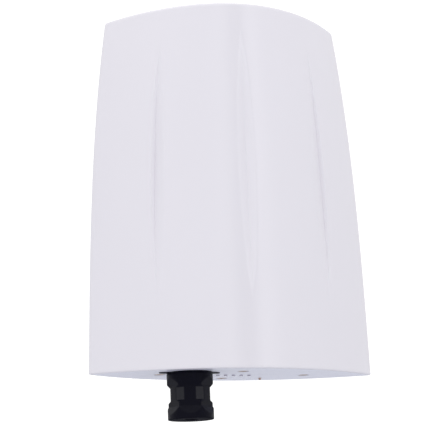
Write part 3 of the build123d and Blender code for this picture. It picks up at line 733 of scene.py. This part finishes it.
def nylon_with_painted_sheen(name, colour, wear_and_sheen):
    """Black nylon of the gland nut: matt end, and a paler sheen painted on the six corners of its
    waist.
    """
    surface = Surface(name, NYLON_ROUGHNESS)
    tree = surface.material.node_tree
    offset = surface.nodes.new("ShaderNodeVectorMath")
    offset.operation = "SUBTRACT"
    offset.inputs[1].default_value = (gland_x, gland_y, 0)
    surface.links.new(surface.place, offset.inputs[0])
    flat = surface.nodes.new("ShaderNodeVectorMath")
    flat.operation = "MULTIPLY"
    flat.inputs[1].default_value = (1, 1, 0)
    surface.links.new(offset.outputs["Vector"], flat.inputs[0])
    reach = surface.nodes.new("ShaderNodeVectorMath")
    reach.operation = "LENGTH"
    surface.links.new(flat.outputs["Vector"], reach.inputs[0])
    apart = surface.nodes.new("ShaderNodeSeparateXYZ")
    tree.links.new(surface.place, apart.inputs[0])
    waist = WAIST_RADIUS * MM
    on_ring = surface.window(
        reach.outputs["Value"],
        (waist - 0.10 * MM, waist - 0.03 * MM, waist + 0.04 * MM, waist + 0.12 * MM))
    low, high = rim_z - WAIST_BOTTOM * MM, rim_z - WAIST_TOP * MM
    in_waist = surface.window(
        apart.outputs["Z"], (low, low + 0.3 * MM, high - 0.3 * MM, high))
    # painted sheen: the waist corners get a paler colour, varied by noise, that stands in for the
    # light they catch
    painted_sheen_mask = math_node(tree, "MULTIPLY", on_ring, in_waist)
    sheen_variation = surface.spread(surface.noise(900, 3, 0.6), 0.75, 1.0)
    surface.colour(surface.ramp(math_node(tree, "MULTIPLY", painted_sheen_mask, sheen_variation), colour, wear_and_sheen, 0, 1))
    grain = surface.noise(1400, 2)
    end = gland_low.z
    end_face = surface.window(
        apart.outputs["Z"], (end - 0.3 * MM, end - 0.2 * MM, end + 0.1 * MM, end + 0.3 * MM))
    dulling = math_node(tree, "MULTIPLY", end_face, END_FACE_DULLING)
    surface.roughness(math_node(tree, "ADD", surface.spread(grain, 0.3, 0.44), dulling))
    surface.relief(grain, 0.25, 0.00003)
    surface.shader.inputs["Specular IOR Level"].default_value = NYLON_GLOSS
    return surface.material


def circuit_board(name):
    """Solder mask over faint copper tracks."""
    surface = Surface(name, 0.35)
    tracks = surface.nodes.new("ShaderNodeTexBrick")
    tracks.inputs["Scale"].default_value = 160
    tracks.inputs["Mortar Size"].default_value = 0.06
    tracks.inputs["Color1"].default_value = (0.012, 0.13, 0.05, 1)
    tracks.inputs["Color2"].default_value = (0.014, 0.15, 0.06, 1)
    tracks.inputs["Mortar"].default_value = (0.03, 0.24, 0.10, 1)
    turned = surface.nodes.new("ShaderNodeMapping")
    turned.inputs["Rotation"].default_value = (pi / 2, 0, 0)
    surface.links.new(surface.place, turned.inputs["Vector"])
    surface.links.new(turned.outputs["Vector"], tracks.inputs["Vector"])
    surface.colour(tracks.outputs["Color"])
    surface.relief(tracks.outputs["Fac"], 0.2, 0.00003)
    return surface.material


NYLON_BLACK = (0.0038, 0.0038, 0.0085)
# paler colour painted on the nut's waist corners as a sheen
NYLON_PAINTED_SHEEN = (0.030, 0.030, 0.034)
NYLON_GLOSS = 0.06
NYLON_ROUGHNESS = 0.36
END_FACE_DULLING = 0.5       # added to the roughness of the nut's matt lower face
RADOME_WHITE = (0.793, 0.774, 0.822)
COVER_WHITE = (0.74, 0.75, 0.85)
MATERIALS = {
    "radome_white": lambda: moulded_plastic(
        "radome_plastic", RADOME_WHITE, 0.17, 0.000003, 0.012),
    "cover_white": lambda: moulded_plastic("cover_plastic", COVER_WHITE, 0.3, 0.00001),
    "gland_black": lambda: moulded_plastic(
        "gland_nylon", NYLON_BLACK, NYLON_ROUGHNESS, 0.00003, 0.15, NYLON_GLOSS),
    "seal_rubber": lambda: rubber("seal_rubber", (0.012, 0.012, 0.012)),
    "screw_steel": lambda: metal("screw_steel", (0.62, 0.50, 0.42), 0.38, (1, 1, 1), 0.3),
    "insert_brass": lambda: metal("insert_brass", (0.78, 0.56, 0.24), 0.3, (1, 1, 1)),
    "vent_grey": lambda: moulded_plastic("vent_plastic", (0.50, 0.34, 0.25), 0.5),
    "carrier_plastic": lambda: moulded_plastic("carrier_plastic", (0.05, 0.055, 0.065), 0.5),
    "board_green": lambda: circuit_board("circuit_board"),
    "shield_tin": lambda: metal("shield_tin", (0.72, 0.72, 0.70), 0.3, (0.05, 1, 1)),
    "jack_plastic": lambda: moulded_plastic("jack_plastic", (0.02, 0.02, 0.022), 0.45),
    "led_lens": lambda: moulded_plastic("led_resin", (0.80, 0.84, 0.62), 0.2),
    "light_pipe_clear": lambda: moulded_plastic("light_pipe", (0.52, 0.49, 0.56), 0.12),
    "array_aluminium": lambda: metal("array_aluminium", (0.78, 0.79, 0.80), 0.28, (0.03, 1, 1)),
    "coax_sheath": lambda: rubber("coax_sheath", (0.02, 0.02, 0.02)),
}


def paint(pieces):
    made = {slot: make() for slot, make in MATERIALS.items()}
    slots = {s["node"]: s["material_slot"] for s in frame["record"]["subparts"]}
    for name, node in frame["nodes"].items():
        node.data.materials.clear()
        node.data.materials.append(made[slots[name]])
    # the gland nut gets the black nylon with the painted sheen on its waist corners
    wear_and_sheen = nylon_with_painted_sheen("gland_nylon_painted_sheen", NYLON_BLACK, NYLON_PAINTED_SHEEN)
    for piece in pieces:
        piece.data.materials.clear()
        turned = piece["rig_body"] == "gland_nut"
        piece.data.materials.append(wear_and_sheen if turned else made[piece["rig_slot"]])


# ---------------------------------------------------------------- camera
VIEW_YAW = radians(20.18)        # camera stands to the left of the front
VIEW_RISE = radians(9.67)        # and looks up at the object
VIEW_ROLL = radians(-2.07)
VIEW_DISTANCE = 1.668
VIEW_LENS = 225.0
AIM_RIGHT = -10.85 / 2687        # how far beside and above the target the camera points
AIM_UP = -15.0 / 2687


def make_camera():
    """Camera turned about the middle of the radome's chord, then aimed a little off it."""
    turn = (
        Matrix.Rotation(VIEW_ROLL, 3, "Y")
        @ Matrix.Rotation(-VIEW_RISE, 3, "X")
        @ Matrix.Rotation(VIEW_YAW, 3, "Z")
    ).transposed()
    target = Vector((0, -PAD_SETBACK, -0.95)) * MM
    forward = (turn @ Vector((AIM_RIGHT, 1, AIM_UP))).normalized()
    right = forward.cross(turn @ Vector((0, 0, 1))).normalized()
    up = right.cross(forward)
    camera = bpy.data.objects.new("camera", bpy.data.cameras.new("camera"))
    camera.data.lens = VIEW_LENS
    camera.data.clip_start = 0.05
    camera.matrix_world = Matrix.Translation(
        target - turn @ Vector((0, VIEW_DISTANCE, 0))
    ) @ Matrix((right, up, -forward)).transposed().to_4x4()
    bpy.context.scene.collection.objects.link(camera)
    bpy.context.scene.camera = camera


# ---------------------------------------------------------------- studio
FLOOR_Z = -0.44
FLOOR_SIZE = 12.0
FLOOR_COLOURS = (0.675, 0.685, 0.735), (0.69, 0.70, 0.75)
BACKDROP = 1.2               # brightness of the white that the camera sees

# brightness round the horizon: degrees from the front (to the right is positive), brightness
HORIZON = [
    (-180, 1.0),
    (-60, 1.0),
    (0, 1.0),
    (4, 1.25),
    (10, 1.35),
    (14, 0.2),
    (23, 0.2),
    (26, 1.7),
    (33, 1.5),
    (38, 0.93),
    (120, 0.9),
    (180, 1.0),
]
OVERHEAD = 0.97
OVERHEAD_SPAN = (22, 42)     # degrees of height over which the overhead light takes over
SKY_TINT = (0.99, 0.98, 1.0)
KEY_SIZE = 1.6
KEY_DISTANCE = 1.5
KEY_AZIMUTH = radians(-8)
KEY_HEIGHT = radians(56)
KEY_POWER = 5.5


def make_world():
    """White behind the object; softer light, with a dark gap near the horizon, round it."""
    world = bpy.data.worlds.new("studio")
    world.use_nodes = True
    tree = world.node_tree
    tree.nodes.clear()
    place = tree.nodes.new("ShaderNodeTexCoord").outputs["Generated"]
    parts = tree.nodes.new("ShaderNodeSeparateXYZ")
    tree.links.new(place, parts.inputs[0])
    forward = math_node(tree, "MULTIPLY", parts.outputs["Y"], -1.0)
    azimuth = math_node(tree, "ARCTAN2", parts.outputs["X"], forward)
    share = math_node(tree, "ADD", math_node(tree, "MULTIPLY", azimuth, 1 / (2 * pi)), 0.5)
    ramp = tree.nodes.new("ShaderNodeValToRGB")
    stops = ramp.color_ramp.elements
    while len(stops) < len(HORIZON):
        stops.new(0.5)
    for stop, (degrees, brightness) in zip(stops, HORIZON):
        stop.position = degrees / 360 + 0.5
        stop.color = (brightness, brightness, brightness, 1)
    tree.links.new(share, ramp.inputs["Fac"])
    height = tree.nodes.new("ShaderNodeMapRange")
    height.interpolation_type = "SMOOTHSTEP"
    height.inputs["From Min"].default_value = sin(radians(OVERHEAD_SPAN[0]))
    height.inputs["From Max"].default_value = sin(radians(OVERHEAD_SPAN[1]))
    tree.links.new(parts.outputs["Z"], height.inputs["Value"])
    mix = tree.nodes.new("ShaderNodeMix")
    mix.data_type = "RGBA"
    mix.inputs["B"].default_value = (OVERHEAD, OVERHEAD, OVERHEAD, 1)
    tree.links.new(height.outputs["Result"], mix.inputs["Factor"])
    tree.links.new(ramp.outputs["Color"], mix.inputs["A"])
    room = tree.nodes.new("ShaderNodeBackground")
    tree.links.new(mix.outputs["Result"], room.inputs["Color"])
    white = tree.nodes.new("ShaderNodeBackground")
    white.inputs["Color"].default_value = (1, 1, 1, 1)
    white.inputs["Strength"].default_value = BACKDROP
    seen = tree.nodes.new("ShaderNodeLightPath").outputs["Is Camera Ray"]
    choice = tree.nodes.new("ShaderNodeMixShader")
    tree.links.new(seen, choice.inputs[0])
    tree.links.new(room.outputs[0], choice.inputs[1])
    tree.links.new(white.outputs[0], choice.inputs[2])
    output = tree.nodes.new("ShaderNodeOutputWorld")
    tree.links.new(choice.outputs[0], output.inputs["Surface"])
    bpy.context.scene.world = world
    bpy.context.scene.view_settings.view_transform = "Standard"


def make_key_light():
    """Large softbox high in front of the object."""
    light = bpy.data.lights.new("key", "AREA")
    light.shape = "DISK"
    light.size = KEY_SIZE
    light.energy = KEY_POWER
    light.color = SKY_TINT
    softbox = bpy.data.objects.new("key", light)
    toward = Vector((
        sin(KEY_AZIMUTH) * cos(KEY_HEIGHT), -cos(KEY_AZIMUTH) * cos(KEY_HEIGHT), sin(KEY_HEIGHT)))
    softbox.location = toward * KEY_DISTANCE
    softbox.rotation_euler = toward.to_track_quat("Z", "Y").to_euler()
    bpy.context.scene.collection.objects.link(softbox)


def make_floor():
    half = FLOOR_SIZE / 2
    corners = [(-half, -half), (half, -half), (half, half), (-half, half)]
    mesh = bpy.data.meshes.new("floor")
    mesh.from_pydata([(x, y, FLOOR_Z) for x, y in corners], [], [(0, 1, 2, 3)])
    floor = bpy.data.objects.new("floor", mesh)
    bpy.context.scene.collection.objects.link(floor)
    surface = Surface("floor_paint", 0.7)
    surface.colour(surface.ramp(surface.noise(3), *FLOOR_COLOURS))
    mesh.materials.append(surface.material)


# ---------------------------------------------------------------- build
paint([make_radome(), make_pad(), make_nut(), make_stem(), make_flange()])
make_camera()
make_world()
make_key_light()
make_floor()
